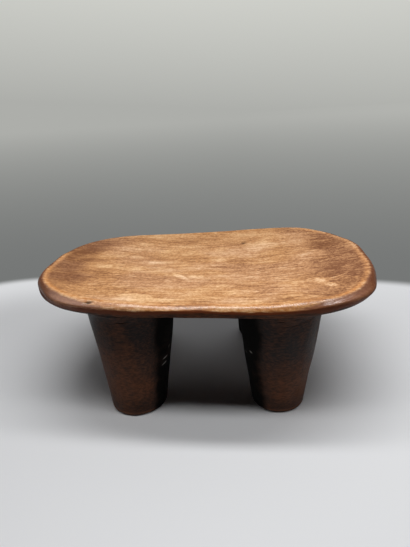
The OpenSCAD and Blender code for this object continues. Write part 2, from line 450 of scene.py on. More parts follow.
def leg_rows(node, legs, seat):
    """Rows of points round a leg: out over the sole, up the side and in over its hidden top.

    The side is a cone whose middle and radius change evenly with height. The worn foot is a
    quarter circle, taken where it is the smaller by a soft least of both radii, and the root
    flares where it meets the seat.
    """
    top, foot, top_r, foot_r = leg_plan(node, legs, seat)
    tall = underside_height(seat)
    sole_r = foot_r - SOLE_SHARE * legs.foot_round
    turn = np.linspace(0, 2 * np.pi, LEG_AROUND, endpoint=False)
    low = legs.foot_round * (1 - np.cos(np.linspace(0, np.pi / 2, FOOT_ROWS)))
    root, hidden = tall - ROOT_TALL, tall + TOP_OVERLAP
    height = np.concatenate([
        np.zeros(SOLE_ROWS), low[1:], np.linspace(low[-1], root, SHAFT_ROWS)[1:],
        np.linspace(root, hidden, TOP_ROWS)[1:], np.full(3, hidden),
    ])
    share = height / tall
    drop = np.clip(legs.foot_round - height, 0, None)
    worn = sole_r + np.sqrt(np.clip(legs.foot_round**2 - drop**2, 0, None))
    cone = foot_r + (top_r - foot_r) * share
    soft, near = 1.2 * MM, 0.03
    radius = near - soft * np.log(np.exp(-(cone - near) / soft) + np.exp(-(worn - near) / soft))
    radius = np.where(height < legs.foot_round, radius, cone)
    radius = np.where(height > 0, radius, 0)
    flare = np.exp(np.minimum(height - tall, 0) / FLARE_FADE) * (height > root)
    radius += legs.root_flare * flare
    radius[:SOLE_ROWS] = radius[SOLE_ROWS] * np.linspace(0.12, 0.93, SOLE_ROWS)
    radius[-3:] *= (0.8, 0.45, 0.1)
    middle = foot + (top - foot) * share[:, None]
    ring = np.stack([np.cos(turn), np.sin(turn)], -1)
    plan = middle[:, None, :] + radius[:, None, None] * ring
    level = np.broadcast_to(height[:, None], plan.shape[:2])
    return np.concatenate([plan, level[..., None]], -1), turn


# Cracks: height and angle of the middle, half length in degrees, fall over it, width, depth.
# Heights, falls and widths are millimetres, and the depth is a share of the crack depth.
CRACKS = {
    "leg_front_left": (
        (152.5, -88, 9, 0.6, 0.55, 1.0), (157.0, -70, 17, -1.2, 0.35, 0.5),
        (147.5, -70, 24, 1.5, 0.30, 0.45), (156.0, -118, 12, 0.6, 0.3, 0.4),
        (141.0, -112, 15, -0.8, 0.25, 0.3),
    ),
    "leg_front_right": (
        (159.6, -100, 16, -0.8, 0.45, 0.8), (158.8, -76, 12, -1.6, 0.4, 0.8),
        (155.5, -93, 6, 0.3, 0.6, 1.0), (149.0, -74, 30, 2.2, 0.35, 0.6),
        (155.0, -118, 4, 0.2, 0.6, 0.8), (143.0, -62, 22, 1.8, 0.28, 0.4),
        (152.6, -58, 14, 1.6, 0.4, 0.7), (131.0, -50, 14, 1.2, 0.25, 0.3),
    ),
    "leg_rear_left": (
        (154.0, 96, 16, 0.8, 0.45, 0.8), (147.0, 70, 22, -1.2, 0.35, 0.5),
        (157.5, 122, 12, 0.6, 0.35, 0.6),
    ),
    "leg_rear_right": (
        (155.5, 84, 18, -0.9, 0.45, 0.8), (149.0, 110, 20, 1.1, 0.35, 0.5),
        (158.0, 60, 10, 0.4, 0.35, 0.6),
    ),
}

# The painted shade that blackens each leg's inner side starts and is full at these cosines of the
# leg's angle from its inmost line
SHADE_SPANS = {
    "leg_front_left": (0.54, 0.82), "leg_front_right": (0.26, 0.72),
    "leg_rear_left": (0.45, 0.95), "leg_rear_right": (0.35, 0.85),
}


def crack_share(rows, turn, node):
    """How deep each point lies in a crack: a bell across it, tapered to both its ends."""
    degrees = np.degrees(turn)
    total = np.zeros(rows.shape[:2])
    wander = 0.35 * np.sin(degrees * 0.55) + 0.2 * np.sin(degrees * 1.7 + 1)
    for height, angle, half, fall, width, depth in CRACKS[node]:
        gap = degrees_from(turn, angle)
        line = height + fall * gap / half + wander
        ends = np.clip(1 - (gap / half) ** 2, 0, 1) ** 0.6
        across = (rows[..., 2] / MM - line) / (width * (0.4 + 0.6 * ends))
        total = np.maximum(total, depth * ends * np.exp(-(across**2)))
    return total


def on_cylinder(angle, height):
    """Points on the cylinder on which the tool's long hollows are laid."""
    x, y = np.cos(angle) * HOLLOW_RADIUS, np.sin(angle) * HOLLOW_RADIUS
    return np.stack([x, y, height * HOLLOW_SQUEEZE], -1)


def carve_leg(rows, turn, node, legs, seat):
    """Moves a leg's points by its uneven carving.

    Along the normals come broad waves, long hollows of the tool down the side, and cracks. Also
    given are how deep each point lies in a crack, and how far it faces the legs across, which
    becomes the painted shade on its inner side.
    """
    seed = 20 + LEG_NODES.index(node)
    tall = underside_height(seat)
    spots = scattered(5, 13, seed)
    around, z = np.broadcast_to(turn, rows.shape[:2]), rows[..., 2]
    middles = on_cylinder(spots[:, 0] * 2 * np.pi, spots[:, 1] * tall)
    hollows = scoops(on_cylinder(around, z), middles, 0.0145)
    side = smooth(z, 0.0, 0.006) * (1 - smooth(z, tall - 0.006, tall - 0.001))
    cracks = crack_share(rows, turn, node)
    height = 0.55 * MM * waviness(rows, 0.09, seed) * side
    height += 0.12 * MM * waviness(rows, 0.02, seed + 40, (1, 1, 2.2)) * side
    height += legs.tool_marks * side * (hollows - 0.55)
    height -= legs.crack_depth * cracks
    # Painted shade: the side that faces the legs across is marked to be made near black
    inward = np.cos(around) * (1 if node.endswith("left") else -1)
    inner_shade = smooth(inward, *SHADE_SPANS[node])
    return rows + height[..., None] * normals(rows), cracks, inner_shade


def row_faces(count, around):
    """The points' numbers in a grid of rows, each one's neighbour, and the quads between rows."""
    number = np.arange(count * around).reshape(count, around)
    beside = np.roll(number, -1, axis=1)
    quads = np.stack([number[:-1], beside[:-1], beside[1:], number[1:]], -1).reshape(-1, 4)
    return number, beside, quads


def closed_mesh(name, rows, masks):
    """Puts rows of points, each closed all the way round, into a mesh with a pole at each end.

    Four-sided faces join each row to the next, and triangles join the first and the last row
    to a point at their middles. masks are numbers that each point keeps by name.
    """
    count, around = rows.shape[:2]
    poles = np.stack([rows[0].mean(0), rows[-1].mean(0)])
    points = np.concatenate([rows.reshape(-1, 3), poles])
    number, beside, quads = row_faces(count, around)
    first, last = count * around, count * around + 1
    start = np.stack([np.full(around, first), beside[0], number[0]], -1)
    end = np.stack([number[-1], beside[-1], np.full(around, last)], -1)
    mesh = bpy.data.meshes.new(name)
    mesh.from_pydata(points.tolist(), [], quads.tolist() + start.tolist() + end.tolist())
    mesh.polygons.foreach_set("use_smooth", np.ones(len(mesh.polygons), bool))
    for mask, values in masks.items():
        ends = [values[0].mean(), values[-1].mean()]
        kept = mesh.attributes.new(mask, "FLOAT", "POINT")
        kept.data.foreach_set("value", np.concatenate([values.ravel(), ends]).astype(np.float32))
    mesh.update()
    return mesh


def place(name, mesh, material):
    """Puts a mesh into the scene as an object at the origin, with its material."""
    mesh.materials.append(material)
    piece = bpy.data.objects.new(name, mesh)
    bpy.context.scene.collection.objects.link(piece)
    return piece


class Board:
    """Adds shader nodes to a tree and joins them. Each call gives an output to build on."""

    def __init__(self, tree):
        self.tree = tree

    def node(self, kind, inputs=None, **settings):
        """A node with its settings, and with inputs given by name or number."""
        made = self.tree.nodes.new(kind)
        for name, value in settings.items():
            setattr(made, name, value)
        for socket, value in (inputs or {}).items():
            self.join(value, made.inputs[socket])
        return made

    def join(self, value, socket):
        """Links an output to a socket, or sets a plain value or colour on it."""
        if isinstance(value, bpy.types.NodeSocket):
            self.tree.links.new(value, socket)
        elif socket.type == "RGBA":
            socket.default_value = (*value, 1.0)
        else:
            socket.default_value = value

    def group(self, group, inputs):
        """The outputs of a shader group that is placed with its inputs."""
        return self.node("ShaderNodeGroup", inputs, node_tree=group).outputs

    def mask(self, name):
        """A number that each point of the mesh keeps by name."""
        return self.node("ShaderNodeAttribute", attribute_name=name).outputs["Fac"]

    def parts(self, vector):
        """The three parts of a vector."""
        return self.node("ShaderNodeSeparateXYZ", {0: vector}).outputs

    def joined(self, *parts):
        """A vector made from its parts."""
        return self.node("ShaderNodeCombineXYZ", dict(enumerate(parts))).outputs[0]

    def vector(self, operation, first, second=(0, 0, 0)):
        """A Vector Math node's result."""
        made = self.node("ShaderNodeVectorMath", {0: first, 1: second}, operation=operation)
        return made.outputs[0]

    def stretched(self, vector, scale, turn=(0, 0, 0), shift=(0, 0, 0)):
        """A vector scaled, turned and shifted by a Mapping node."""
        values = {"Vector": vector, "Scale": scale, "Rotation": turn, "Location": shift}
        return self.node("ShaderNodeMapping", values).outputs[0]

    def math(self, operation, first, second=0.0, clamp=False):
        """A Math node's value."""
        values = {0: first, 1: second}
        return self.node("ShaderNodeMath", values, operation=operation, use_clamp=clamp).outputs[0]

    def plus(self, first, second, clamp=False):
        """The sum of two values."""
        return self.math("ADD", first, second, clamp)

    def minus(self, first, second):
        """The first value less the second."""
        return self.math("SUBTRACT", first, second)

    def over(self, first, second):
        """The first value over the second."""
        return self.math("DIVIDE", first, second)

    def away(self, value, middle=0.0):
        """How far a value lies from a middle."""
        return self.math("ABSOLUTE", self.minus(value, middle) if middle else value)

    def times(self, *values):
        """The product of the values."""
        return reduce(lambda first, second: self.math("MULTIPLY", first, second), values)

    def most(self, *values):
        """The greatest of the values."""
        return reduce(lambda first, second: self.math("MAXIMUM", first, second), values)

    def less(self, value, weight):
        """1 less a value times its weight."""
        return self.minus(1.0, self.times(value, weight))

    def sum(self, start, *parts):
        """A number plus each value less a half, times its weight."""
        total = start
        for value, weight in parts:
            total = self.plus(total, self.times(self.minus(value, 0.5), weight))
        return total

    def even(self, value, low, high):
        """A value from low to high laid evenly onto 0 to 1."""
        values = {"Value": value, "From Min": low, "From Max": high}
        return self.node("ShaderNodeMapRange", values).outputs[0]

    def span(self, value, low, high, start=0.0, end=1.0):
        """A value from low to high laid smoothly onto the span from start to end."""
        values = {"Value": value, "From Min": low, "From Max": high, "To Min": start, "To Max": end}
        return self.node("ShaderNodeMapRange", values, interpolation_type="SMOOTHSTEP").outputs[0]

    def noise(self, vector, scale=None, detail=3.0, rough=0.55, bend=0.0):
        """Noise between 0 and 1 over a vector, which is first scaled along each axis."""
        vector = self.stretched(vector, scale) if scale else vector
        values = {"Scale": 1.0, "Detail": detail, "Roughness": rough, "Distortion": bend}
        return self.node("ShaderNodeTexNoise", {"Vector": vector, **values}).outputs[0]

    def mix(self, share, first, second, blend="MIX"):
        """Two colours mixed by a share."""
        made = self.node("ShaderNodeMix", data_type="RGBA", blend_type=blend)
        sockets = {socket.identifier: socket for socket in made.inputs}
        for name, value in {"Factor_Float": share, "A_Color": first, "B_Color": second}.items():
            self.join(value, sockets[name])
        return next(socket for socket in made.outputs if socket.identifier == "Result_Color")

    def tone(self, value, dark, plain_tone, pale):
        """A colour from dark at 0 through the plain tone at a half to pale at 1."""
        lower = self.mix(self.even(value, 0.0, 0.5), dark, plain_tone)
        return self.mix(self.even(value, 0.5, 1.0), lower, pale)


def new_group(name, inputs, outputs):
    """An empty shader group with named sockets, its board and the outputs of its inputs."""
    group = bpy.data.node_groups.new(name, "ShaderNodeTree")
    for label, (kind, value) in inputs.items():
        socket = group.interface.new_socket(label, in_out="INPUT", socket_type="NodeSocket" + kind)
        socket.default_value = value
    for label, kind in outputs.items():
        group.interface.new_socket(label, in_out="OUTPUT", socket_type="NodeSocket" + kind)
    board = Board(group)
    return group, board, board.node("NodeGroupInput").outputs


def grain_group():
    """Wood grain that runs along X: fine lines, streaks, clouds and specks, each 0 to 1.

    The lines are noise that is stretched along the grain. A slow noise bends them first.
    """
    group, board, given = new_group(
        "wood_grain",
        {"Vector": ("Vector", (0, 0, 0)), "Length": ("Float", 0.007), "Width": ("Float", 0.0021)},
        {"Fine": "Float", "Streak": "Float", "Cloud": "Float", "Speck": "Float"},
    )
    coords = given["Vector"]
    sway = board.times(board.minus(board.noise(coords, (9, 14, 14), 2.0), 0.5), 0.016)
    swayed = board.vector("ADD", coords, board.joined(0.0, sway))
    across = board.over(1.0, given["Width"])
    scale = board.joined(board.over(1.0, given["Length"]), across, across)
    wide = board.vector("MULTIPLY", scale, (0.17, 0.45, 0.45))
    fine = board.noise(board.vector("MULTIPLY", swayed, scale), None, 4.0, 0.6)
    streak = board.noise(board.vector("MULTIPLY", swayed, wide), None, 3.0, 0.6, 0.4)
    board.node("NodeGroupOutput", {
        "Fine": board.span(fine, 0.3, 0.7),
        "Streak": board.span(streak, 0.32, 0.68),
        "Cloud": board.span(board.noise(coords, (14, 26, 26), 4.0, 0.6), 0.3, 0.7),
        "Speck": board.span(board.noise(coords, (260, 260, 260), 3.0, 0.7), 0.3, 0.7),
    })
    return group


def mark_group():
    """One long soft mark, such as a rubbed patch, a stain or a scratch: 1 in it and 0 outside.

    The distance from its centre, turned and divided by its half sizes, makes an ellipse, whose
    edge the noise breaks up by Ragged.
    """
    group, board, given = new_group(
        "worn_mark",
        {
            "Vector": ("Vector", (0, 0, 0)), "Centre": ("Vector", (0, 0, 0)),
            "Turn": ("Float", 0.0), "Half length": ("Float", 0.02),
            "Half width": ("Float", 0.01), "Ragged": ("Float", 0.5), "Noise": ("Float", 0.5),
        },
        {"Mask": "Float"},
    )
    apart = board.vector("SUBTRACT", given["Vector"], given["Centre"])
    values = {"Vector": apart, "Angle": board.times(given["Turn"], -1.0)}
    turned = board.node("ShaderNodeVectorRotate", values, rotation_type="Z_AXIS")
    u, v, _ = board.parts(turned.outputs[0])
    u, v = board.over(u, given["Half length"]), board.over(v, given["Half width"])
    reach = board.math("SQRT", board.plus(board.times(u, u), board.times(v, v)))
    rag = board.times(board.minus(given["Noise"], 0.5), given["Ragged"])
    board.node("NodeGroupOutput", {"Mask": board.span(board.plus(reach, rag), 0.35, 1.0, 1.0, 0.0)})
    return group


def patina_group():
    """Dark handled patina: brown that shows through black by Rubbed, with smudges and grain.

    Its height is fine grain and pores for a bump.
    """
    group, board, given = new_group(
        "handled_patina",
        {
            "Vector": ("Vector", (0, 0, 0)), "Black": ("Color", (0, 0, 0, 1)),
            "Brown": ("Color", (0.1, 0, 0, 1)), "Rubbed": ("Float", 0.5), "Grain": ("Float", 0.5),
        },
        {"Color": "Color", "Gloss": "Float", "Height": "Float"},
    )
    smudge = board.noise(given["Vector"], (24, 24, 17), 5.0, 0.54, 0.5)
    pores = board.noise(given["Vector"], (150, 420, 420), 3.0, 0.6)
    spread = board.sum(given["Rubbed"], (smudge, 1.05), (given["Grain"], 0.34))
    shown = board.span(spread, 0.15, 0.95)
    dark = board.span(pores, 0.3, 0.62, 0.55, 1.15)
    grey = board.node("ShaderNodeCombineColor", {0: dark, 1: dark, 2: dark}).outputs[0]
    tone = board.mix(1.0, board.mix(shown, given["Black"], given["Brown"]), grey, "MULTIPLY")
    height = board.plus(board.times(pores, 0.5), given["Grain"])
    board.node("NodeGroupOutput", {"Color": tone, "Gloss": smudge, "Height": height})
    return group


def shared_groups():
    """The shader groups that both woods use, each built once."""
    made = {
        "grain": ("wood_grain", grain_group), "mark": ("worn_mark", mark_group),
        "patina": ("handled_patina", patina_group),
    }
    return {key: bpy.data.node_groups.get(name) or build() for key, (name, build) in made.items()}


def new_material(name):
    """An empty node material, its board, its object coordinates and its output."""
    material = bpy.data.materials.new(name)
    material.use_nodes = True
    material.node_tree.nodes.clear()
    board = Board(material.node_tree)
    coords = board.node("ShaderNodeTexCoord").outputs["Object"]
    return material, board, coords, board.node("ShaderNodeOutputMaterial")


# Marks on the dish: x, y, turn in degrees, half length, half width, raggedness and strength.
# Lengths are millimetres.
PALE_MARKS_AND_HIGHLIGHTS = (
    (-31, -51, -48, 30, 7, 0.6, 1.3), (-8, -54, -8, 15, 9, 0.8, 1.0),
    (-46, -70, -25, 9, 5, 0.9, 0.6), (-20, -16, -3, 30, 4, 0.8, 0.6),
    (-83, 9, -20, 14, 8, 1.2, 0.35), (-104, -49, -9, 15, 3.5, 0.6, 0.7),
    (-128, -20, -10, 16, 3.5, 0.7, 0.6), (-155, 28, -15, 40, 20, 1.3, 0.4),
    (-186, -18, 0, 10, 3.5, 0.7, 0.5), (-83, -134, -12, 30, 7, 0.8, 0.8),
    (-52, -134, -4, 34, 9, 1.0, 0.8), (32, -134, -4, 46, 10, 1.0, 0.3),
    (-85, -26, -12, 66, 20, 1.2, 0.5), (-115, 32, 0, 26, 12, 1.2, 0.6),
    (-166, -12, -12, 34, 26, 1.2, 0.5), (-35, 87, 0, 36, 13, 1.2, 0.4),
    (84, 80, 5, 30, 24, 1.3, 0.6), (23, 15, -4, 20, 10, 1.0, 0.6), (93, -2, -2, 24, 2.2, 0.4, 0.7),
    (166, 8, -10, 28, 28, 1.3, 0.6), (160, -91, -40, 12, 7, 1.5, 1.1),
    (170, -103, -45, 13, 7, 1.4, 1.0), (183, -82, 20, 24, 1.8, 0.3, 1.0),
    (186, -87, 30, 15, 1.5, 0.3, 0.8), (181, -18, 20, 15, 1.9, 0.4, 0.7),
    (124, -130, 5, 22, 5, 0.9, 0.5), (-40, -42, -6, 20, 12, 1.1, 0.4),
    (-80, -121, -8, 32, 12, 1.1, 1.1), (56, -113, 0, 28, 13, 1.0, 0.7),
    (150, -24, -6, 16, 10, 1.1, 0.4), (-166, -48, -6, 16, 12, 1.0, 0.6),
    # The marks at 140, -138 and at -16, -147 are painted highlights along the crest
    (140, -138, 10, 26, 9, 1.0, 1.0), (36, -92, 0, 18, 10, 1.0, 0.5),
    (-16, -147, -2, 20, 8, 0.9, 0.8),
)
DARK_MARKS = (
    (-200, -50, -50, 36, 20, 1.3, 0.3), (-212, 28, 70, 40, 16, 1.1, 0.7),
    (49, -46, -2, 34, 14, 1.0, 0.45), (134, -38, -2, 20, 12, 1.0, 0.8),
    (146, -108, 8, 30, 16, 1.0, 0.9), (-135, -92, -12, 18, 13, 1.1, 0.5),
    (-83, 31, 2, 22, 10, 0.9, 0.6), (-20, 30, -2, 34, 12, 0.9, 0.6), (23, -14, -1, 20, 6, 0.9, 0.6),
    (87, 21, 0, 24, 10, 0.9, 0.6), (94, -57, -1, 22, 14, 1.0, 0.6),
    (180, 70, -50, 42, 14, 1.0, 0.4), (145, -81, 20, 14, 13, 1.0, 0.5),
    (-47, -87, -15, 24, 7, 0.9, 0.2), (132, -52, 0, 18, 14, 1.0, 0.7),
    (120, 96, 0, 28, 15, 1.0, 0.8), (-150, 58, -8, 24, 14, 1.0, 0.5),
    (118, -50, 0, 20, 14, 1.0, 0.55), (55, 86, 0, 16, 10, 1.0, 0.5),
    (-130, 82, -8, 30, 10, 1.0, 0.5),
)

# Nicks on the front legs' inner sides, listed as the marks are but by y and z
LEFT_NICKS = (
    (-113, 80.5, 4, 7, 1.6, 0.5, 1.0), (-114.5, 72, 10, 6.5, 1.5, 0.5, 0.9),
    (-104, 93, 60, 4, 1.3, 0.5, 0.6),
)
RIGHT_NICKS = (
    (-126, 96, 10, 3.2, 1.6, 0.5, 1.0), (-112, 88, 20, 3, 1.2, 0.5, 0.5),
)


# What the cooler places of the dish, and the painted sheen at its right end, multiply the wood's
# red, green and blue by
COOL_TINT_AND_SHEEN = (0.97, 1.0, 1.18)
# The painted shade on the legs' inner sides, in linear red, green and blue
SHADE_BLACK = (0.002, 0.0015, 0.0012)


def marks(board, coords, group, listed):
    """The strongest of a list of marks at each place."""
    total = 0.0
    rough = board.noise(coords, (90, 210, 90), 4.0, 0.65)
    for x, y, turn, half_length, half_width_mm, ragged, strength in listed:
        mask = board.group(group, {
            "Vector": coords, "Centre": (x * MM, y * MM, 0.0), "Turn": np.radians(turn),
            "Half length": half_length * MM, "Half width": half_width_mm * MM,
            "Ragged": ragged, "Noise": rough,
        })["Mask"]
        total = board.most(board.times(mask, strength), total)
    return total


def seat_material(look, groups, seat):
    """Worn brown wood: golden along the crest, darker at the ends, and patina on the underside."""
    material, board, coords, end = new_material("seat_wood")
    grain = board.group(groups["grain"], {"Vector": coords})
    fine, streak, cloud, speck = (grain[name] for name in ("Fine", "Streak", "Cloud", "Speck"))
    x, y, _ = board.parts(coords)
    x = board.over(x, seat.span / 2)
    off_middle = board.away(x)
    end_share = board.span(off_middle, 0.35, 0.78)
    edge_way = board.sum(board.mask("crest_way"), (streak, 0.0018), (cloud, 0.0016))

    # The dish: its grain, then its darker ends, its stains, its rubbed patches and two painted
    # highlights on the crest
    tone = board.sum(0.0, (fine, 0.27), (streak, 0.3), (cloud, 0.34), (speck, 0.34))
    rear_left = board.times(board.span(y, 0.0, 0.05), board.span(x, -0.3, -0.6))
    inside = board.most(board.span(edge_way, 0.002, 0.009), rear_left)
    drift = board.times(cloud, 0.06)
    left_end = board.span(board.plus(x, drift), -0.52, -0.8)
    later = board.times(board.span(y, -0.02, 0.05, 0.0, 0.12), board.span(y, 0.1, 0.07))
    right_end = board.span(board.minus(x, board.plus(later, drift)), 0.45, 0.73)
    ends = board.plus(board.times(left_end, 0.34), board.times(right_end, 0.33))
    tone = board.times(tone, board.less(left_end, 0.4))
    tone = board.minus(board.plus(tone, 0.5), board.times(ends, inside))
    flat = board.vector("MULTIPLY", coords, (1, 1, 0))
    stained = marks(board, flat, groups["mark"], DARK_MARKS)
    rubbed_and_highlights = marks(board, flat, groups["mark"], PALE_MARKS_AND_HIGHLIGHTS)
    tone = board.minus(tone, board.times(stained, 0.22))
    tone = board.plus(tone, board.times(rubbed_and_highlights, 0.36))
    wood = board.tone(tone, look.seat_dark, look.seat_wood, look.seat_pale)

    # A cooler brown in places, but not at the middle of the rear, and a painted sheen that cools
    # the right end
    cool_and_sheen = board.span(board.noise(board.stretched(coords, (9, 16, 16), shift=(3, 1, 0))), 0.4, 0.6)
    warm = board.times(board.span(y, 0.06, 0.1), board.span(off_middle, 0.7, 0.4))
    cool_and_sheen = board.times(cool_and_sheen, board.less(warm, 0.9))
    # Painted sheen: the right end gets the cooler tint more strongly
    cool_and_sheen = board.plus(cool_and_sheen, board.span(x, 0.45, 0.65, 0.0, 0.6), clamp=True)
    wood = board.mix(board.times(cool_and_sheen, 0.8), wood, COOL_TINT_AND_SHEEN, "MULTIPLY")

    # The golden band along the crest
    gold_way = board.minus(edge_way, board.times(end_share, 0.012))
    golden = board.times(
        board.span(gold_way, -0.016, -0.010), board.span(edge_way, 0.011, 0.003),
        board.span(y, -0.05, 0.05, 1.0, 0.5), board.span(cloud, 0.2, 0.7, 0.55, 1.0),
        board.span(off_middle, 0.78, 0.92, 1.0, 0.65), board.less(rear_left, 0.8), 0.8,
    )
    wood = board.mix(golden, wood, board.tone(tone, look.rim_brown, look.rim_gold, look.seat_pale))

    # The rim's face: handled brown, duskier at the ends, then deep red and patina lower down
    outer = board.span(board.minus(edge_way, board.times(end_share, 0.0135)), -0.012, -0.017)
    calm = board.sum(0.5, (tone, 0.45))
    wood = board.mix(outer, wood, board.tone(calm, look.rim_red, look.rim_brown, look.seat_wood))
    dusky = board.times(board.span(off_middle, 0.66, 0.86), board.span(edge_way, 0.001, -0.003))
    wood = board.mix(board.times(dusky, 0.55), wood, look.rim_red)
    low_share = board.span(board.away(x, 0.15), 0.22, 0.5)
    low_way = board.plus(edge_way, board.times(low_share, 0.0058))
    low_way = board.plus(low_way, board.times(end_share, 0.003))
    patina = board.group(groups["patina"], {
        "Vector": coords, "Black": look.patina_black, "Brown": look.patina_brown,
        "Rubbed": 0.55, "Grain": fine,
    })
    wood = board.mix(board.span(low_way, -0.0062, -0.0098), wood, look.rim_red)
    wood = board.mix(board.span(low_way, -0.0135, -0.0165), wood, patina["Color"])
    wood = board.mix(board.times(board.mask("hollow"), 0.95), wood, look.patina_black)

    # Gloss: a polish on the rim's face, weaker at one dull place and towards the ends
    gloss_way = board.minus(low_way, board.times(left_end, 0.003))
    on_rim = board.times(
        board.span(edge_way, 0.003, -0.003), board.span(gloss_way, -0.009, -0.0055),
    )
    rough = board.span(fine, 0.0, 1.0, look.seat_rough - 0.06, look.seat_rough + 0.08)
    rough = board.plus(rough, board.times(on_rim, look.rim_rough - look.seat_rough), clamp=True)
    polish = board.times(
        on_rim, board.span(speck, 0.0, 1.0, 0.85, 1.0),
        board.span(board.away(x, 0.595), 0.015, 0.08, 0.45, 1.0),
        board.span(off_middle, 0.9, 0.62, 0.35, 1.0),
    )
    relief = board.sum(0.0, (fine, 0.7), (streak, 0.5), (speck, 0.5))
    bumped = board.node("ShaderNodeBump", {"Height": relief, "Strength": 0.4, "Distance": 0.0004})
    shader = board.node("ShaderNodeBsdfPrincipled", {
        "Base Color": wood, "Roughness": rough, "Normal": bumped.outputs[0], "Coat Weight": polish,
        "Coat Roughness": 0.25, "Coat IOR": 1.72, "Specular IOR Level": 0.08,
    })
    board.join(shader.outputs[0], end.inputs[0])
    return material


def leg_material(look, groups, tall):
    """Black and brown patina, blackest near the seat and browner lower down, with painted shade on
    the inner side.
    """
    material, board, coords, end = new_material("leg_wood")
    x, y, height = board.parts(coords)
    grain = board.group(groups["grain"], {"Vector": coords, "Width": 0.0022})
    low = board.times(
        board.span(height, 0.85 * tall, 0.25 * tall, 0.33, 0.72),
        board.span(height, 0.0, 0.25 * tall, 0.75, 1.0),
    )
    patina = board.group(groups["patina"], {
        "Vector": coords, "Black": look.patina_black, "Brown": look.patina_brown,
        "Rubbed": low, "Grain": grain["Fine"],
    })
    worn = board.times(board.span(height, 0.0085, 0.0045), board.span(height, 0.0015, 0.004), 0.45)
    tone = board.mix(worn, patina["Color"], look.rim_brown)
    # Painted shade: the inner side, which faces the other legs, is made near black and matt
    painted_shade = board.sum(board.mask("inner"), (grain["Cloud"], 0.5))
    painted_shade = board.math("MULTIPLY", painted_shade, 1.1, clamp=True)
    black = board.math("MINIMUM", board.most(board.times(board.mask("hollow"), 1.3), painted_shade), 1.0)
    tone = board.mix(black, tone, SHADE_BLACK)
    upright = board.joined(y, height)
    left = marks(board, upright, groups["mark"], LEFT_NICKS)
    right = marks(board, upright, groups["mark"], RIGHT_NICKS)
    left = board.times(left, board.span(x, -0.03, -0.04))
    nicks = board.plus(left, board.times(right, board.span(x, 0.03, 0.04)))
    tone = board.mix(board.times(nicks, painted_shade), tone, look.nick_grey)
    rough = board.span(patina["Gloss"], 0.3, 0.7, look.leg_rough - 0.08, look.leg_rough + 0.12)
    bumped = board.node("ShaderNodeBump", {
        "Height": patina["Height"], "Strength": 0.3, "Distance": 0.0004,
    })
    shader = board.node("ShaderNodeBsdfPrincipled", {
        "Base Color": tone, "Roughness": board.most(rough, painted_shade), "Normal": bumped.outputs[0],
        "Specular IOR Level": 0.14,
    })
    board.join(shader.outputs[0], end.inputs[0])
    return material


# The backdrop grows paler by height over this rise, and the same to the right by this tilt
HAZE, TILT = 0.27, 0.09
# The pale floor's half sizes, its turn in degrees, and its shift over those half sizes
FLOOR_HALVES, FLOOR_TURN, FLOOR_SHIFT = (0.66, 0.42), 9, (0.15, 0.16)


def floor_material(stage):
    """A pale floor that keeps the shadow, and a grey backdrop painted beyond it.

    A rounded square distance from the stool, |x/a|^4 + |y/b|^4 to the power 1/4, is 1 where the
    floor ends. Towards that place the camera sees an even pale floor, and beyond it the
    backdrop's colours by that distance.
    """
    material, board, coords, end = new_material("pale_floor")
    scale = (1 / FLOOR_HALVES[0], 1 / FLOOR_HALVES[1], 1)
    turned = board.stretched(coords, scale, (0, 0, np.radians(FLOOR_TURN)), (*FLOOR_SHIFT, 0))
    u, v, _ = board.parts(turned)
    fourths = [board.math("POWER", board.away(part), 4.0) for part in (u, v)]
    away = board.math("POWER", board.plus(*fourths), 0.25)
    side = board.parts(board.vector("NORMALIZE", coords))[0]
    far = board.even(board.times(side, TILT), 0.0, HAZE)
    far = board.mix(far, stage.backdrop_mid, stage.backdrop_high)
    climb = board.span(board.math("LOGARITHM", away, 10.0), 0.0, 1.7)
    grey = board.mix(climb, stage.backdrop_low, far)
    grey = board.mix(board.span(away, 0.985, 1.08), stage.far_floor, grey)
    seen = board.node("ShaderNodeLightPath").outputs
    direct = board.most(seen["Is Camera Ray"], seen["Is Glossy Ray"], seen["Is Transmission Ray"])
    matt = board.node("ShaderNodeBsdfDiffuse", {"Color": stage.floor}).outputs[0]
    glow = board.node("ShaderNodeEmission", {"Color": grey, "Strength": 1.0}).outputs[0]
    painted = board.times(board.span(away, 0.55, 0.98), direct)
    both = board.node("ShaderNodeMixShader", {0: painted, 1: matt, 2: glow})
    board.join(both.outputs[0], end.inputs[0])
    return material


def floor_mesh(reach):
    """A flat round floor: rings whose radii grow evenly in their logarithm."""
    turn = np.linspace(0, 2 * np.pi, 96, endpoint=False)
    radius = np.geomspace(0.05, reach, 24)[:, None]
    rows = np.stack([radius * np.cos(turn), radius * np.sin(turn), 0 * radius * turn], -1)
    count, around = rows.shape[:2]
    number, beside, quads = row_faces(count, around)
    middle = np.stack([number[0], beside[0], np.full(around, count * around)], -1)
    mesh = bpy.data.meshes.new("floor")
    points = np.concatenate([rows.reshape(-1, 3), np.zeros((1, 3))])
    quads = quads[:, (0, 3, 2, 1)]
    mesh.from_pydata(points.tolist(), [], quads.tolist() + middle.tolist())
    return mesh


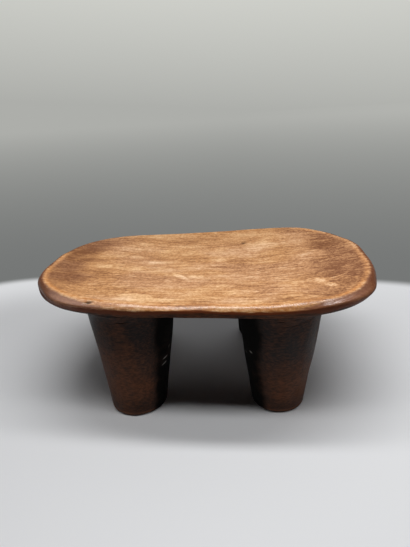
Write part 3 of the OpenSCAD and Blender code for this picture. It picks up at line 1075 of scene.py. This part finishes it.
def set_world(stage):
    """A grey backdrop for the camera by height, and weak light from the rear and the sides.

    Two high bright places near the strips' ends show in reflections alone.
    """
    world = bpy.data.worlds.new("tent_light")
    bpy.context.scene.world = world
    world.use_nodes = True
    world.node_tree.nodes.clear()
    board = Board(world.node_tree)
    x, y, z = board.parts(board.node("ShaderNodeTexCoord").outputs["Generated"])
    climb = board.even(board.plus(z, board.times(x, TILT)), 0.0, HAZE)
    grey = board.mix(climb, stage.backdrop_mid, stage.backdrop_high)
    rear = board.times(board.span(y, 0.15, 0.75), board.span(z, 0.42, 0.72, 0.06, 0.9))
    side = board.span(board.away(x), 0.8, 0.98, 0.0, 0.34)
    seen = board.node("ShaderNodeLightPath").outputs
    left, right = board.span(x, -0.28, -0.55, 0.0, 1.2), board.span(x, 0.42, 0.66, 0.0, 0.6)
    high = board.times(board.most(left, right), board.span(z, 0.35, 0.6), seen["Is Glossy Ray"])
    power = board.times(board.most(side, high, rear), stage.fill)
    shown = board.node("ShaderNodeBackground", {"Color": grey, "Strength": 1.0}).outputs[0]
    lit = board.node("ShaderNodeBackground", {"Color": (1, 1, 1), "Strength": power}).outputs[0]
    both = board.node("ShaderNodeMixShader", {0: seen["Is Camera Ray"], 1: lit, 2: shown})
    board.node("ShaderNodeOutputWorld", {0: both.outputs[0]})


# The photograph's camera: its place in metres, its yaw, pitch and roll in degrees, and its
# lens and sensor in millimetres
CAMERA_PLACE = (0.0592, -0.5939, 0.3933)
CAMERA_TURNS = (-5.6874, 21.4511, 3.4910)
CAMERA_LENS, CAMERA_SENSOR = 27.05, 36.0
# Metres: the floor's radius, and the lamp strips' height, their middle along X and their length
FLOOR_REACH = 60.0
STRIP_HEIGHT, STRIP_X, STRIP_LENGTH = 0.85, 0.12, 1.0


def strip_lamp(name, place_at, aim_at, power, size):
    """A long strip lamp over the stool, along X, that the camera doesn't see."""
    data = bpy.data.lights.new(name, "AREA")
    data.shape = "RECTANGLE"
    data.size, data.size_y = size
    data.energy = power
    lamp = bpy.data.objects.new(name, data)
    bpy.context.scene.collection.objects.link(lamp)
    way = (Vector(aim_at) - Vector(place_at)).normalized()
    turn = way.to_track_quat("-Z", "Y").to_matrix().to_4x4()
    lamp.matrix_world = Matrix.Translation(place_at) @ turn
    lamp.visible_camera = False


class STOOL_OT_camera(bpy.types.Operator):
    """Makes the camera at the photograph's viewing angle"""

    bl_idname = "stool.camera"
    bl_label = "Add the camera"

    def execute(self, context):
        yaw, pitch, roll = np.radians(CAMERA_TURNS)
        ahead = np.cos(pitch)
        forward = np.array([np.sin(yaw) * ahead, np.cos(yaw) * ahead, -np.sin(pitch)])
        level = np.array([np.cos(yaw), -np.sin(yaw), 0.0])
        down = np.cross(forward, level)
        right = np.cos(roll) * level + np.sin(roll) * down
        drop = np.cos(roll) * down - np.sin(roll) * level
        data = bpy.data.cameras.new("camera")
        data.sensor_width, data.sensor_fit, data.lens = CAMERA_SENSOR, "AUTO", CAMERA_LENS
        data.clip_start, data.clip_end = 0.01, 100.0
        camera = bpy.data.objects.new("camera", data)
        context.scene.collection.objects.link(camera)
        turn = Matrix(np.stack([right, -drop, -forward], 1).tolist()).to_4x4()
        camera.matrix_world = Matrix.Translation(CAMERA_PLACE) @ turn
        context.scene.camera = camera
        return {"FINISHED"}


class STOOL_OT_seat(bpy.types.Operator):
    """Carves the dished seat with its rim and its underside"""

    bl_idname = "stool.seat"
    bl_label = "Carve the seat"

    def execute(self, context):
        seat, look = context.scene.stool_seat, context.scene.stool_wood
        rows = seat_rows(seat)
        turn = np.linspace(0, 2 * np.pi, SEAT_AROUND, endpoint=False)
        way = way_along(rows, UNDER_ROWS + RIM_ROWS - 1)
        rows, hollow = carve_seat(rows, way, np.broadcast_to(turn, way.shape), seat)
        rows = np.clip(rows, np.array(SEAT_LOW), np.array(SEAT_HIGH))
        mesh = closed_mesh("carved_seat", rows, {"crest_way": way, "hollow": hollow})
        piece = place("carved_seat", mesh, seat_material(look, shared_groups(), seat))
        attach(piece, "root")
        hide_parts("seat")
        return {"FINISHED"}


class STOOL_OT_legs(bpy.types.Operator):
    """Carves the four tapering legs"""

    bl_idname = "stool.legs"
    bl_label = "Carve the legs"

    def execute(self, context):
        seat, legs = context.scene.stool_seat, context.scene.stool_legs
        material = leg_material(context.scene.stool_wood, shared_groups(), underside_height(seat))
        for node in LEG_NODES:
            rows, turn = leg_rows(node, legs, seat)
            rows, cracks, inner = carve_leg(rows, turn, node, legs, seat)
            rows[..., 2] = np.clip(rows[..., 2], 0, None)
            mesh = closed_mesh("carved_" + node, rows, {"hollow": cracks, "inner": inner})
            piece = place("carved_" + node, mesh, material)
            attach(piece, "root")
            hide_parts(node)
        return {"FINISHED"}


class STOOL_OT_stage(bpy.types.Operator):
    """Lays the floor and hangs the lamps and the backdrop"""

    bl_idname = "stool.stage"
    bl_label = "Set the stage"

    def execute(self, context):
        stage = context.scene.stool_stage
        floor = place("floor", floor_mesh(FLOOR_REACH), floor_material(stage))
        set_world(stage)
        strips = (
            ("front_strip", -0.304, 0.12, stage.front_power),
            ("top_strip", -0.047, 0.08, stage.top_power),
        )
        for name, y, width, power in strips:
            place_at, aim_at = (STRIP_X, y, STRIP_HEIGHT), (STRIP_X, 0.5 * y, 0.0)
            strip_lamp(name, place_at, aim_at, power, (STRIP_LENGTH, width))
        context.scene.view_settings.view_transform = "Standard"
        return {"FINISHED"}


class STOOL_PT_panel(bpy.types.Panel):
    """Lists the stool's sizes, colours and steps"""

    bl_idname = "STOOL_PT_panel"
    bl_label = "Carved stool"
    bl_space_type = "VIEW_3D"
    bl_region_type = "UI"
    bl_category = "Stool"

    def draw(self, context):
        for step in STEPS:
            self.layout.operator(step.bl_idname)
        for name in SETTINGS:
            group = getattr(context.scene, name)
            box = self.layout.box()
            for field in group.__annotations__:
                box.prop(group, field)


STEPS = (STOOL_OT_camera, STOOL_OT_seat, STOOL_OT_legs, STOOL_OT_stage)
SETTINGS = {
    "stool_seat": StoolSeatShape, "stool_legs": StoolLegShape,
    "stool_wood": StoolWoodLook, "stool_stage": StoolStageLook,
}
CLASSES = (*SETTINGS.values(), *STEPS, STOOL_PT_panel)


def register():
    """Registers the classes and hangs the settings on the scene."""
    for kind in CLASSES:
        bpy.utils.register_class(kind)
    for name, kind in SETTINGS.items():
        setattr(bpy.types.Scene, name, PointerProperty(type=kind))


def unregister():
    """Takes the settings off the scene and unregisters the classes."""
    for name in SETTINGS:
        delattr(bpy.types.Scene, name)
    for kind in reversed(CLASSES):
        bpy.utils.unregister_class(kind)


def main():
    """Builds the whole scene."""
    register()
    bpy.ops.stool.camera()
    bpy.ops.stool.seat()
    bpy.ops.stool.legs()
    bpy.ops.stool.stage()


if __name__ == "__main__":
    main()
